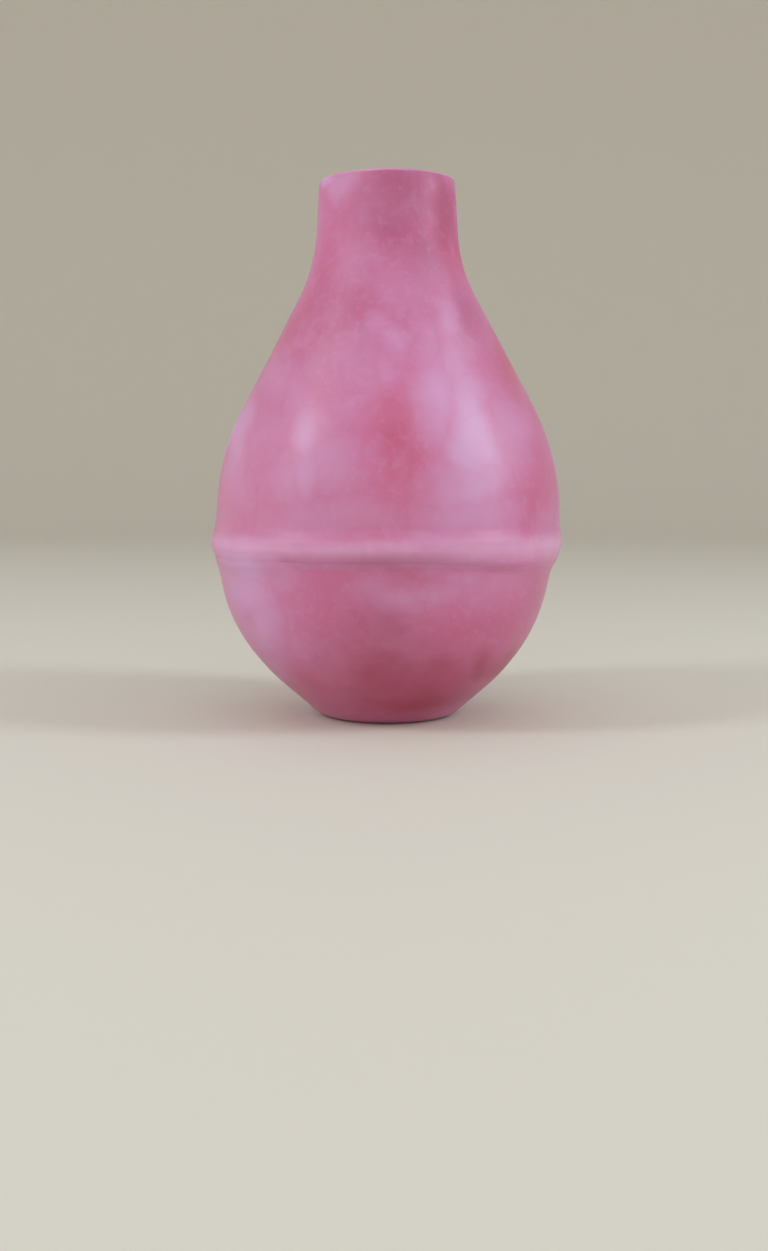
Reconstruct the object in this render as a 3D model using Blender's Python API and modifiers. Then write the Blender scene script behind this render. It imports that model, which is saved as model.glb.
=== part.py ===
"""Pipette filler bulb: a hollow rubber bulb in two halves, with a tapered bush in its neck.

The bulb stands on its foot, with the middle of the foot at the origin and its axis along +Z.
Sizes are in metres. Outlines are half sections: radius from the axis, then height.
"""

import math

import bpy
from mathutils import Vector

# Outside of the upper half
BULB_HEIGHT = 0.0782
RIM_RADIUS = 0.0098
RIM_ROUNDING = 0.0006
NECK_RADIUS = 0.0106
NECK_ROOT_HEIGHT = 0.0659
NECK_SWEEP = 0.0240
SHOULDER_HEIGHT = 0.0381
BELLY_RADIUS = 0.02545
BELLY_SWEEP = 0.0360

# Bead round the widest place: the thick lower lip of the upper half
BEAD_RADIUS = 0.0259
BEAD_TOP_HEIGHT = 0.0286
BEAD_CREST_HEIGHT = 0.0268
BEAD_FOOT_HEIGHT = 0.0258
BEAD_SWEEP = 0.0032
BEAD_ROUNDING = 0.0018
LIP_RADIUS = 0.0252
LIP_ROUNDING = 0.0002
SEAM_HEIGHT = 0.0243

# Outside of the lower half: the belly goes on below the bead, then draws in to the foot
CUP_RADIUS = 0.0251
CUP_EDGE_ROUNDING = 0.0003
CUP_BREAST_RADIUS = 0.02444
CUP_BREAST_HEIGHT = 0.0208
CUP_BREAST_SWEEP = 0.0600
CUP_SIDE_RADIUS = 0.0228
CUP_SIDE_HEIGHT = 0.0137
CUP_SIDE_SWEEP = 0.0260
CUP_CONE_RADIUS = 0.0169
CUP_CONE_HEIGHT = 0.0065
CUP_CONE_SWEEP = 0.0300
FOOT_RADIUS = 0.01005
FOOT_ROUNDING = 0.0033

# Walls, and the lap joint where the lower half stands up inside the lip
WALL = 0.0030
BELLY_INSIDE_SWEEP = 0.0240
BREAST_INSIDE_SWEEP = 0.0180
FOOT_THICKNESS = 0.0040
FLOOR_ROUNDING = 0.0050
GAP = 0.0003
LAP_DEPTH = 0.0060
TONGUE_THICKNESS = 0.0013
TONGUE_ROUNDING = 0.0004

# Bore of the neck
BORE_RADIUS = 0.0066
BORE_END_HEIGHT = 0.0635
BORE_SWEEP = 0.0080
SEAT_RADIUS = 0.0075
SEAT_DEPTH = 0.0023
MOUTH_CHAMFER = 0.0003

# Bush: a collar, a ribbed body that the neck grips, and a tail that reaches into the bulb
COLLAR_RECESS = 0.0004
COLLAR_THICKNESS = 0.0016
COLLAR_ROUNDING = 0.0004
BUSH_LENGTH = 0.0180
RIB_COUNT = 3
RIB_PITCH = 0.0030
RIB_RAMP = 0.0018
RIB_PROUD = 0.0005
FIRST_RIB_DEPTH = 0.0031
TAIL_DEPTH = 0.0126
TAIL_RADIUS = 0.0050
TAIL_ROUNDING = 0.0005
SOCKET_MOUTH_RADIUS = 0.0054
SOCKET_TOP_RADIUS = 0.0048
SOCKET_LEAD_DEPTH = 0.0010
SOCKET_END_RADIUS = 0.0034

# Facets: segments round the axis, how far a facet may stand off a curve, and the turn that counts as none
TURN_STEPS = 48
CURVE_TOLERANCE = 0.00003
COARSEST_TOLERANCE = 0.3
STRAIGHT_TURN = 0.001
MERGE_DISTANCE = 0.000001

# Colours are linear
RUBBER_COLOUR = (0.58, 0.17, 0.29, 1.0)
RUBBER_ROUGHNESS = 0.45
BUSH_COLOUR = (0.74, 0.72, 0.66, 1.0)
BUSH_ROUGHNESS = 0.38


def clear_scene():
    """Remove every object, so that the file holds only the bulb."""
    for item in list(bpy.data.objects):
        bpy.data.objects.remove(item, do_unlink=True)


def inward(start, end):
    """Unit normal of a section line that runs down the outside, pointing into the wall."""
    along = (end - start).normalized()
    return Vector((along.y, -along.x))


def moved_in(corners, distance):
    """The same corners with every line between them moved into the wall by a distance.

    A corner that bulges outwards loses that much of its rounding, and a hollow one gains it.
    """
    points = [Vector(corner[:2]) for corner in corners]
    normals = [inward(a, b) for a, b in zip(points, points[1:])]
    moved = [(*(points[0] + normals[0] * distance), 0.0)]
    for i in range(1, len(points) - 1):
        before, after = normals[i - 1], normals[i]
        shift = (before + after) * (distance / (1.0 + before.dot(after)))
        turn = before.x * after.y - before.y * after.x
        rounding = corners[i][2] + math.copysign(distance, turn)
        moved.append((*(points[i] + shift), max(rounding, 0.0)))
    moved.append((*(points[-1] + normals[-1] * distance), 0.0))
    return moved


def rounded(corners):
    """Section points through corners of (radius, height, rounding), with each rounding as an arc."""
    points = [Vector(corners[0][:2])]
    for before, corner, after in zip(corners, corners[1:], corners[2:]):
        tip = Vector(corner[:2])
        rounding = corner[2]
        back = (Vector(before[:2]) - tip).normalized()
        onward = (Vector(after[:2]) - tip).normalized()
        turn = math.pi - back.angle(onward)
        if rounding == 0.0 or turn < STRAIGHT_TURN:
            points.append(tip)
            continue
        reach = rounding * math.tan(turn / 2)
        middle = tip + (back + onward).normalized() * (rounding / math.cos(turn / 2))
        first = tip + back * reach - middle
        last = tip + onward * reach - middle
        tolerance = min(CURVE_TOLERANCE / rounding, COARSEST_TOLERANCE)
        widest_step = 2 * math.acos(1 - tolerance)
        count = max(2, math.ceil(turn / widest_step))
        for step in range(count + 1):
            share = step / count
            blend = first * math.sin((1 - share) * turn) + last * math.sin(share * turn)
            points.append(middle + blend / math.sin(turn))
    points.append(Vector(corners[-1][:2]))
    return points


def rib_steps(body_radius, top_depth, clearance):
    """Corners of the saw-tooth ribs, downwards: a square step out, then a long ramp back in."""
    corners = []
    for rib in range(RIB_COUNT):
        step_depth = top_depth + rib * RIB_PITCH
        corners.append((body_radius, -(step_depth - clearance), 0.0))
        corners.append((body_radius + RIB_PROUD, -(step_depth - clearance), 0.0))
        corners.append((body_radius, -(step_depth + RIB_RAMP), 0.0))
    return corners


def upper_outside():
    """Corners of the upper half from the rim down the outside to the underside of its lip."""
    return [
        (RIM_RADIUS, BULB_HEIGHT, RIM_ROUNDING),
        (NECK_RADIUS, NECK_ROOT_HEIGHT, NECK_SWEEP),
        (BELLY_RADIUS, SHOULDER_HEIGHT, BELLY_SWEEP),
        (BELLY_RADIUS, BEAD_TOP_HEIGHT, BEAD_SWEEP),
        (BEAD_RADIUS, BEAD_CREST_HEIGHT, BEAD_SWEEP),
        (BEAD_RADIUS, BEAD_FOOT_HEIGHT, BEAD_ROUNDING),
        (LIP_RADIUS, SEAM_HEIGHT, LIP_ROUNDING),
    ]


def tongue_radius():
    """Outer radius of the tongue, whose inside is flush with the inside of the belly."""
    return BELLY_RADIUS - WALL + TONGUE_THICKNESS


def upper_section():
    """Closed outline of the upper half: outside, lip, lap joint, inside wall and neck bore."""
    lap_radius = tongue_radius() + GAP
    lap_top = SEAM_HEIGHT + LAP_DEPTH
    shoulder_line = [
        (NECK_RADIUS, NECK_ROOT_HEIGHT, 0.0),
        (BELLY_RADIUS, SHOULDER_HEIGHT, 0.0),
        (BELLY_RADIUS, SEAM_HEIGHT, 0.0),
    ]
    belly_radius, belly_height, _ = moved_in(shoulder_line, WALL)[1]
    seat_height = BULB_HEIGHT - SEAT_DEPTH
    grooves = [
        (radius, BULB_HEIGHT - COLLAR_RECESS + depth, 0.0)
        for radius, depth, _ in rib_steps(BORE_RADIUS, FIRST_RIB_DEPTH, GAP)
    ]
    corners = [(SEAT_RADIUS + MOUTH_CHAMFER, BULB_HEIGHT, 0.0)]
    corners += upper_outside()
    corners += [
        (lap_radius, SEAM_HEIGHT, TONGUE_ROUNDING),
        (lap_radius, lap_top, TONGUE_ROUNDING),
        (belly_radius, lap_top, 0.0),
        (belly_radius, belly_height, BELLY_INSIDE_SWEEP),
        (BORE_RADIUS, BORE_END_HEIGHT, BORE_SWEEP),
    ]
    corners += reversed(grooves)
    corners += [
        (BORE_RADIUS, seat_height, 0.0),
        (SEAT_RADIUS, seat_height, 0.0),
        (SEAT_RADIUS, BULB_HEIGHT - MOUTH_CHAMFER, 0.0),
    ]
    return rounded(corners)


def lower_section():
    """Open outline of the lower half: from the axis up the inside, over the tongue, down to the foot."""
    shoulder = SEAM_HEIGHT - GAP
    tongue_top = SEAM_HEIGHT + LAP_DEPTH - GAP
    outside = [
        (CUP_RADIUS, shoulder, CUP_EDGE_ROUNDING),
        (CUP_BREAST_RADIUS, CUP_BREAST_HEIGHT, CUP_BREAST_SWEEP),
        (CUP_SIDE_RADIUS, CUP_SIDE_HEIGHT, CUP_SIDE_SWEEP),
        (CUP_CONE_RADIUS, CUP_CONE_HEIGHT, CUP_CONE_SWEEP),
        (FOOT_RADIUS, 0.0, FOOT_ROUNDING),
        (0.0, 0.0, 0.0),
    ]
    inner_breast, inner_side, inner_cone, inner_foot = moved_in(outside, WALL)[1:5]
    slope = (inner_cone[0] - inner_foot[0]) / (inner_cone[1] - inner_foot[1])
    floor_radius = inner_foot[0] + slope * (FOOT_THICKNESS - inner_foot[1])
    corners = [
        (0.0, FOOT_THICKNESS, 0.0),
        (floor_radius, FOOT_THICKNESS, FLOOR_ROUNDING),
        inner_cone,
        inner_side,
        (inner_breast[0], inner_breast[1], BREAST_INSIDE_SWEEP),
        (BELLY_RADIUS - WALL, tongue_top, TONGUE_ROUNDING),
        (tongue_radius(), tongue_top, TONGUE_ROUNDING),
        (tongue_radius(), shoulder, 0.0),
    ]
    return rounded(corners + outside)


def bush_section():
    """Closed outline of the bush, downwards from the top of its collar."""
    body_radius = BORE_RADIUS - GAP
    collar_radius = SEAT_RADIUS - GAP
    corners = [
        (SOCKET_MOUTH_RADIUS, 0.0, 0.0),
        (collar_radius, 0.0, COLLAR_ROUNDING),
        (collar_radius, -COLLAR_THICKNESS, COLLAR_ROUNDING),
        (body_radius, -COLLAR_THICKNESS, 0.0),
    ]
    corners += rib_steps(body_radius, FIRST_RIB_DEPTH, 0.0)
    corners += [
        (body_radius, -TAIL_DEPTH, 0.0),
        (TAIL_RADIUS, -BUSH_LENGTH, TAIL_ROUNDING),
        (SOCKET_END_RADIUS, -BUSH_LENGTH, TAIL_ROUNDING),
        (SOCKET_TOP_RADIUS, -SOCKET_LEAD_DEPTH, 0.0),
    ]
    return rounded(corners)


def material(name, colour, roughness):
    """A non-metal material with one colour and roughness."""
    finish = bpy.data.materials.new(name)
    finish.use_nodes = True
    shader = finish.node_tree.nodes["Principled BSDF"]
    shader.inputs["Base Color"].default_value = colour
    shader.inputs["Roughness"].default_value = roughness
    shader.inputs["Metallic"].default_value = 0.0
    return finish


def turned(name, section, closed, finish, collection):
    """A named object that turns a half section about the Z axis."""
    mesh = bpy.data.meshes.new(name)
    count = len(section)
    edges = [(i, i + 1) for i in range(count - 1)]
    if closed:
        edges.append((count - 1, 0))
    mesh.from_pydata([(point.x, 0.0, point.y) for point in section], edges, [])
    mesh.materials.append(finish)
    piece = bpy.data.objects.new(name, mesh)
    collection.objects.link(piece)
    screw = piece.modifiers.new("turn", "SCREW")
    screw.axis = "Z"
    screw.angle = math.tau
    screw.steps = TURN_STEPS
    screw.render_steps = TURN_STEPS
    screw.use_merge_vertices = True
    screw.merge_threshold = MERGE_DISTANCE
    screw.use_smooth_shade = True
    return piece


def main():
    """Build the two halves and the bush, all on the bulb's axis."""
    clear_scene()
    collection = bpy.data.collections.new("pipette_filler_bulb")
    bpy.context.scene.collection.children.link(collection)
    axis = bpy.data.objects.new("bulb_axis", None)
    axis.empty_display_size = BULB_HEIGHT / 4
    collection.objects.link(axis)
    upper_rubber = material("upper_rubber", RUBBER_COLOUR, RUBBER_ROUGHNESS)
    lower_rubber = material("lower_rubber", RUBBER_COLOUR, RUBBER_ROUGHNESS)
    bush_plastic = material("bush_plastic", BUSH_COLOUR, BUSH_ROUGHNESS)
    upper = turned("upper_shell", upper_section(), True, upper_rubber, collection)
    lower = turned("lower_shell", lower_section(), False, lower_rubber, collection)
    bush = turned("neck_insert", bush_section(), True, bush_plastic, collection)
    bush.location.z = BULB_HEIGHT - COLLAR_RECESS
    for piece in (upper, lower, bush):
        piece.parent = axis


main()
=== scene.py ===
"""Looks of the pipette filler bulb: two halves of satin pink rubber, a milky bush and a plain studio.

All sizes are in metres, in the frame's own axes: +Z runs up the bulb and the camera stands on the -Y side.
Outlines are half sections of (radius, height), turned about the Z axis and then made a little uneven.
"""

import logging
import math
from dataclasses import dataclass, field
from enum import Enum
from typing import Callable, Optional, Union

import bmesh
import bpy
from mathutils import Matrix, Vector, noise


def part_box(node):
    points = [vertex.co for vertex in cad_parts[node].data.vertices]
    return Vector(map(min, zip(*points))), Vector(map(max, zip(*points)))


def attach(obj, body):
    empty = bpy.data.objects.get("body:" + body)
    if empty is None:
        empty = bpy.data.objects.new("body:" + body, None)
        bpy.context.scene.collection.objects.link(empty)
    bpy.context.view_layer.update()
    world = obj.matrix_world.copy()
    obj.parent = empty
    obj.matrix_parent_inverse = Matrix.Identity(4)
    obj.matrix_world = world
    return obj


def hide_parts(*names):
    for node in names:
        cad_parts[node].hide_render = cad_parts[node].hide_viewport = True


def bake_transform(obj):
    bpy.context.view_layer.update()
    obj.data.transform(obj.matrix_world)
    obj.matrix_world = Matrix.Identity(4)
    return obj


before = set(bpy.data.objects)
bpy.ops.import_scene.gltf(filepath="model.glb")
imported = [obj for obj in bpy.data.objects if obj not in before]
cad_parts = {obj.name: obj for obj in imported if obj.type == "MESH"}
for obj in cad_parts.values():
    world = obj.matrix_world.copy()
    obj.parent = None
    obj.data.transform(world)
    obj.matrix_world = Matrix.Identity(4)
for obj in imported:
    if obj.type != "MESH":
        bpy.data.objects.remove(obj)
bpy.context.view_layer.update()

log = logging.getLogger("pipette_filler_bulb")

TRUE_PLACE = "true_place"
ON_AXIS = 1e-7
NOISE_MIDDLE = 0.5
EVEN = Vector((1.0, 1.0, 1.0))
SHIFT_WAY = Vector((1.0, -1.0, 2.0))

Number = Union["Signal", float]
Triple = tuple[float, float, float]
Span = tuple[float, float]
Socket = bpy.types.NodeSocket
VertexRing = list[bmesh.types.BMVert]


class Body(Enum):
    """The bodies that pieces move with."""

    NECK = "neck"
    BASE = "base"


class Slot(Enum):
    """Names for the pieces' material slots; each piece keeps one, and its finish is put on without it."""

    UPPER = "upper_rubber"
    LOWER = "lower_rubber"
    BUSH = "bush_plastic"


class Tint(Enum):
    """The tints that cloud the rubber, in the order in which they are laid on."""

    ROSE = "redder, where the bloom has been rubbed off"
    # MAUVE also colours painted shade: in the crease below the bead, under the rim's lip and on the cup's
    # right side.
    MAUVE = "greyer, where it has been handled"
    # BLOOM is bloom and also painted highlight round the lamps' highlights on the belly, shoulder and bead,
    # and painted light on the lower half's left.
    BLOOM = "paler and bluer, where sulphur has bloomed"
    # DEEP is mostly painted shade: towards the foot, on the lower cup, in the crease below the bead and
    # under the rim's lip.
    DEEP = "darker, where grime has settled"


def seen(red: int, green: int, blue: int) -> Triple:
    """A linear colour from screen values.

    Args:
        red: Screen value from 0 to 255.
        green: Screen value from 0 to 255.
        blue: Screen value from 0 to 255.

    Returns:
        The same colour in linear light, each part from 0 to 1.
    """
    def one(value: int) -> float:
        """Undo the screen curve of one part."""
        share = value / 255
        return share / 12.92 if share <= 0.04045 else ((share + 0.055) / 1.055) ** 2.4

    return one(red), one(green), one(blue)


def eased(value: float, low: float, high: float) -> float:
    """A smooth step.

    Args:
        value: Where to read the step.
        low: Where it is still 0.
        high: Where it has become 1. It may lie below low.

    Returns:
        A share from 0 to 1.
    """
    share = min(max((value - low) / (high - low), 0.0), 1.0)
    return share * share * (3 - 2 * share)


def bell(value: float, middle: float, reach: float) -> float:
    """A bell curve that is 1 at its middle and 0.37 at its reach."""
    return math.exp(-(((value - middle) / reach) ** 2))


class Signal:
    """A number in a shader. Python's operators on it add Math nodes."""

    def __init__(self, graph: "Graph", socket: Socket) -> None:
        """Wrap an output socket of a graph."""
        self.graph = graph
        self.socket = socket

    def __add__(self, other: Number) -> "Signal":
        """Sum."""
        return self.graph.math("ADD", self, other)

    __radd__ = __add__

    def __sub__(self, other: Number) -> "Signal":
        """Difference."""
        return self.graph.math("SUBTRACT", self, other)

    def __rsub__(self, other: Number) -> "Signal":
        """Difference from a number."""
        return self.graph.math("SUBTRACT", other, self)

    def __mul__(self, other: Number) -> "Signal":
        """Product."""
        return self.graph.math("MULTIPLY", self, other)

    __rmul__ = __mul__

    def least(self, other: Number) -> "Signal":
        """The smaller of two numbers."""
        return self.graph.math("MINIMUM", self, other)

    def most(self, other: Number) -> "Signal":
        """The larger of two numbers."""
        return self.graph.math("MAXIMUM", self, other)

    def absolute(self) -> "Signal":
        """The number without its sign."""
        return self.graph.math("ABSOLUTE", self, 0.0)

    def hypotenuse(self, other: "Signal") -> "Signal":
        """The long side of a right-angled triangle with these two short sides."""
        return self.graph.math("POWER", self * self + other * other, 0.5)

    def centred(self) -> "Signal":
        """Noise around 0 instead of 0.5."""
        return self - NOISE_MIDDLE

    def step(self, low: float, high: float) -> "Signal":
        """A smooth step from 0 at low to 1 at high.

        Args:
            low: Where the step is still 0.
            high: Where the step has become 1. It may lie below low.

        Returns:
            The step as a new signal.
        """
        settings = {"interpolation_type": "SMOOTHSTEP"}
        links = {"Value": self, "From Min": low, "From Max": high, "To Min": 0.0, "To Max": 1.0}
        if high < low:
            links.update({"From Min": high, "From Max": low, "To Min": 1.0, "To Max": 0.0})
        return Signal(self.graph, self.graph.node("ShaderNodeMapRange", settings, links).outputs["Result"])


Link = Union[Signal, Socket, float, tuple]


class Graph:
    """The shader of one material, with methods that add nodes to it."""

    def __init__(self, name: str) -> None:
        """Make an empty material with a Principled shader.

        Args:
            name: Name of the material.
        """
        self.material = bpy.data.materials.new(name)
        self.material.use_nodes = True
        self.tree = self.material.node_tree
        self.tree.nodes.clear()
        self.shader = self.node("ShaderNodeBsdfPrincipled", {}, {})
        self.node("ShaderNodeOutputMaterial", {}, {"Surface": self.shader.outputs["BSDF"]})

    def node(self, kind: str, settings: dict, links: dict[str, Link]) -> bpy.types.Node:
        """Add a node.

        Args:
            kind: Blender's name for the type of node.
            settings: Properties that are set before the sockets.
            links: Values or links for its sockets, by the socket's identifier or name.

        Returns:
            The new node.
        """
        made = self.tree.nodes.new(kind)
        for key, value in settings.items():
            setattr(made, key, value)
        self.feed(made, links)
        return made

    def feed(self, node: bpy.types.Node, links: dict[str, Link]) -> None:
        """Set or link the sockets of a node.

        Args:
            node: The node whose inputs are fed.
            links: Values or links, by the socket's identifier or name.
        """
        by_identifier = {socket.identifier: socket for socket in node.inputs}
        for key, value in links.items():
            socket = by_identifier.get(key) or node.inputs[key]
            if isinstance(value, Signal):
                self.tree.links.new(value.socket, socket)
            elif isinstance(value, Socket):
                self.tree.links.new(value, socket)
            elif isinstance(value, tuple) and socket.type == "RGBA":
                socket.default_value = (*value, 1.0)
            else:
                socket.default_value = value

    def math(self, operation: str, first: Number, second: Number) -> Signal:
        """A Math node on two numbers."""
        links = {"Value": first, "Value_001": second}
        return Signal(self, self.node("ShaderNodeMath", {"operation": operation}, links).outputs["Value"])

    def mixed(self, share: Number, first: Link, second: Link) -> Socket:
        """Mix two colours.

        Args:
            share: How much of the second colour is taken.
            first: The colour at share 0.
            second: The colour at share 1.

        Returns:
            The mixed colour's socket.
        """
        links = {"Factor_Float": share, "A_Color": first, "B_Color": second}
        outputs = self.node("ShaderNodeMix", {"data_type": "RGBA"}, links).outputs
        return next(socket for socket in outputs if socket.identifier == "Result_Color")

    def place(self) -> Socket:
        """The point's place on the true turned shape, before it was made uneven or moved."""
        settings = {"attribute_type": "GEOMETRY", "attribute_name": TRUE_PLACE}
        return self.node("ShaderNodeAttribute", settings, {}).outputs["Vector"]

    def stretched(self, place: Socket, scale: Vector, shift: Vector) -> Socket:
        """A place scaled along each axis and then moved by a shift."""
        links = {"Vector": place, "Vector_001": tuple(scale), "Vector_002": tuple(shift)}
        return self.node("ShaderNodeVectorMath", {"operation": "MULTIPLY_ADD"}, links).outputs["Vector"]

    def noise_node(self, place: Socket, detail: float, rough: float, warp: float) -> bpy.types.Node:
        """A Noise node.

        Args:
            place: Where the noise is read, in widths of a cloud.
            detail: Number of finer layers.
            rough: Strength of the finer layers.
            warp: How far the noise is bent by itself.

        Returns:
            The node, whose outputs lie around 0.5.
        """
        links = {"Vector": place, "Scale": 1.0, "Detail": detail, "Roughness": rough, "Distortion": warp}
        return self.node("ShaderNodeTexNoise", {}, links)

    def bump(self, height: Signal, depth: float, below: Optional[Socket] = None) -> Socket:
        """A Bump node.

        Args:
            height: Height of the surface, from 0 to 1.
            depth: What a height of 1 stands for, in metres.
            below: Normal that this bump is added to.

        Returns:
            The bumped normal's socket.
        """
        links: dict[str, Link] = {"Height": height, "Distance": depth, "Strength": 1.0}
        if below is not None:
            links["Normal"] = below
        return self.node("ShaderNodeBump", {}, links).outputs["Normal"]


@dataclass(frozen=True)
class Clouds:
    """Soft noise with clouds of one size. Two with unlike shifts differ."""

    size: float
    detail: float = 3.0
    rough: float = 0.5
    shift: float = 0.0
    warp: float = 0.0
    squeeze: Triple = (1.0, 1.0, 1.0)

    def read(self, graph: Graph, place: Socket) -> Signal:
        """Noise around 0.5, read at a place."""
        moved = graph.stretched(place, Vector(self.squeeze) / self.size, SHIFT_WAY * self.shift)
        return Signal(graph, graph.noise_node(moved, self.detail, self.rough, self.warp).outputs["Fac"])


@dataclass(frozen=True)
class Straying:
    """A push by noise, so that what is drawn at the pushed place has no plain outline."""

    size: float = 0.0090
    reach: float = 0.0032
    detail: float = 2.0
    rough: float = 0.5
    shift: Triple = (9.0, 4.0, 2.0)

    def pushed(self, graph: Graph, place: Socket) -> Socket:
        """A place that is pushed about.

        Args:
            graph: The shader.
            place: The vector that is changed.

        Returns:
            The changed vector's socket.
        """
        moved = graph.stretched(place, EVEN / self.size, Vector(self.shift))
        push = graph.noise_node(moved, self.detail, self.rough, 0.0).outputs["Color"]
        centred = graph.stretched(push, EVEN * (self.reach / NOISE_MIDDLE), EVEN * -self.reach)
        links = {"Vector": place, "Vector_001": centred}
        return graph.node("ShaderNodeVectorMath", {"operation": "ADD"}, links).outputs["Vector"]


class Ground:
    """What the rubber's tints and wear are drawn from: a point's place and the noises there."""

    BROAD = Clouds(0.017, 2.0, 0.45, shift=3.1, warp=0.3)
    OTHER = Clouds(0.020, 2.0, 0.45, shift=12.9, warp=0.3)
    MIDDLE = Clouds(0.0065, shift=7.7, warp=0.2)
    FINE = Clouds(0.0012, 2.0, 0.6, shift=1.3)
    FLOW = Clouds(0.0045, shift=21.0, warp=0.8, squeeze=(1.0, 1.0, 0.28))
    REAR = (-0.002, 0.012)

    def __init__(self, graph: Graph) -> None:
        """Read the place and the noises.

        Args:
            graph: The shader that they belong to.
        """
        self.graph = graph
        self.place = graph.place()
        axes = graph.node("ShaderNodeSeparateXYZ", {}, {"Vector": self.place}).outputs
        self.across, self.along, self.height = (Signal(graph, axes[axis]) for axis in "XYZ")
        kinds = (self.BROAD, self.OTHER, self.MIDDLE, self.FINE, self.FLOW)
        read = (kind.read(graph, self.place) for kind in kinds)
        self.broad, self.other, self.middle, self.fine, self.flow = read
        self.ragged = self.middle.centred()
        self.strayed = Straying().pushed(graph, self.place)
        self.rear = self.along.step(*self.REAR)

    def radius(self) -> Signal:
        """Distance from the bulb's axis."""
        return self.across.hypotenuse(self.along)


@dataclass(frozen=True)
class Patch:
    """A soft-edged patch of another tint at one place on the rubber."""

    tint: Tint
    centre: Triple
    reach: Triple
    strength: float
    fray: float = 0.6
    fade: Span = (1.05, 0.05)

    def mask(self, ground: Ground) -> Signal:
        """The patch as a share of its tint.

        Args:
            ground: The place and the noise that frays the patch's edge.

        Returns:
            Full strength in the middle, and 0 outside.
        """
        scale = Vector(1 / length for length in self.reach)
        shift = Vector(-middle / length for middle, length in zip(self.centre, self.reach))
        offset = ground.graph.stretched(ground.strayed, scale, shift)
        measured = ground.graph.node("ShaderNodeVectorMath", {"operation": "LENGTH"}, {"Vector": offset})
        far = Signal(ground.graph, measured.outputs["Value"])
        return (far + ground.ragged * self.fray).step(*self.fade) * self.strength


@dataclass(frozen=True)
class Spread:
    """How a tint lies all over: where noise begins and completes it, its share, and what the rear adds."""

    begins: float
    complete: float
    share: float
    rear: float

    def mask(self, clouds: Signal, ground: Ground) -> Signal:
        """The share of the tint at a point of the clouds."""
        return clouds.step(self.begins, self.complete) * (self.share + ground.rear * self.rear)


@dataclass(frozen=True)
class SeamShade:
    """Painted shade in the crease below the bead, at the front and the back, fading towards the sides and
    ending short of the left side.
    """

    height: float
    reach: float = 0.0012
    share: float = 0.75
    bloomed: float = 0.35
    waver: float = 0.0004
    skin_radius: float = 0.0254
    depths: Span = (0.62, 0.93)
    fray: float = 0.2
    left_end: Span = (-0.0165, -0.0115)

    def mask(self, ground: Ground) -> Signal:
        """The share of painted shade.

        Args:
            ground: The place and the noise that breaks the line up.

        Returns:
            A share that is highest in the crease.
        """
        away = ground.height - self.height + ground.ragged * self.waver
        line = (away * away).step(self.reach ** 2, 0.0)
        depth = ground.along.absolute() * (1 / self.skin_radius)
        front_and_back = (depth + ground.ragged * self.fray).step(*self.depths)
        return line * front_and_back * ground.across.step(*self.left_end) * self.share


@dataclass(frozen=True)
class FootShade:
    """Painted shade that deepens towards the foot. It is less at the left, which paints the light there,
    and mostly left off the sole's edge, whose lighter colour offsets its contact shade.
    """

    top: float = 0.0165
    waver: float = 0.008
    share: float = 0.25
    patchy: float = 0.5
    rear: float = 0.2
    left_share: float = 0.6
    left: Span = (-0.014, 0.002)
    sole_share: float = 0.25
    sole_height: float = 0.0035

    def over(self, deep: Number, ground: Ground) -> Signal:
        """Add the painted shade to the darker patches.

        Args:
            deep: The share of the darker tint in the patches.
            ground: The place and the noises.

        Returns:
            The share of the darker tint in all.
        """
        height = ground.height + ground.ragged * self.waver
        share = self.share + ground.broad * self.patchy + ground.rear * self.rear
        sideways = self.left_share + (1 - self.left_share) * ground.across.step(*self.left)
        shaded = height.step(self.top, 0.0) * share * sideways
        # Lighter on the sole's edge: painted light against its contact shade.
        kept = self.sole_share + (1 - self.sole_share) * ground.height.step(0.0, self.sole_height)
        return shaded.most(deep) * kept


@dataclass(frozen=True)
class WornRing:
    """Paler rubber along an edge that rubs."""

    radius: float
    height: float
    reach: float
    fray: float = 0.5
    cover: float = 1.6

    def mask(self, ground: Ground) -> Signal:
        """The share of worn rubber.

        Args:
            ground: The place and the noises that break the wear up.

        Returns:
            A share that is highest on the edge.
        """
        far = (ground.radius() - self.radius).hypotenuse(ground.height - self.height)
        ring = (far + ground.fine.centred() * (self.reach * self.fray)).step(self.reach, 0.0)
        return ring * (ground.middle * self.cover).least(1.0)


@dataclass(frozen=True)
class Specks:
    """Scattered round specks, with their radius as a share of the distance between them."""

    spread: float
    size: float
    shift: Triple
    core: float = 0.4

    def mask(self, ground: Ground) -> Signal:
        """Where the specks are.

        Args:
            ground: The place.

        Returns:
            1 in a speck and 0 elsewhere.
        """
        spaced = ground.graph.stretched(ground.place, EVEN / self.spread, Vector(self.shift))
        cells = ground.graph.node("ShaderNodeTexVoronoi", {}, {"Vector": spaced, "Scale": 1.0})
        return Signal(ground.graph, cells.outputs["Distance"]).step(self.size, self.size * self.core)


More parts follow.
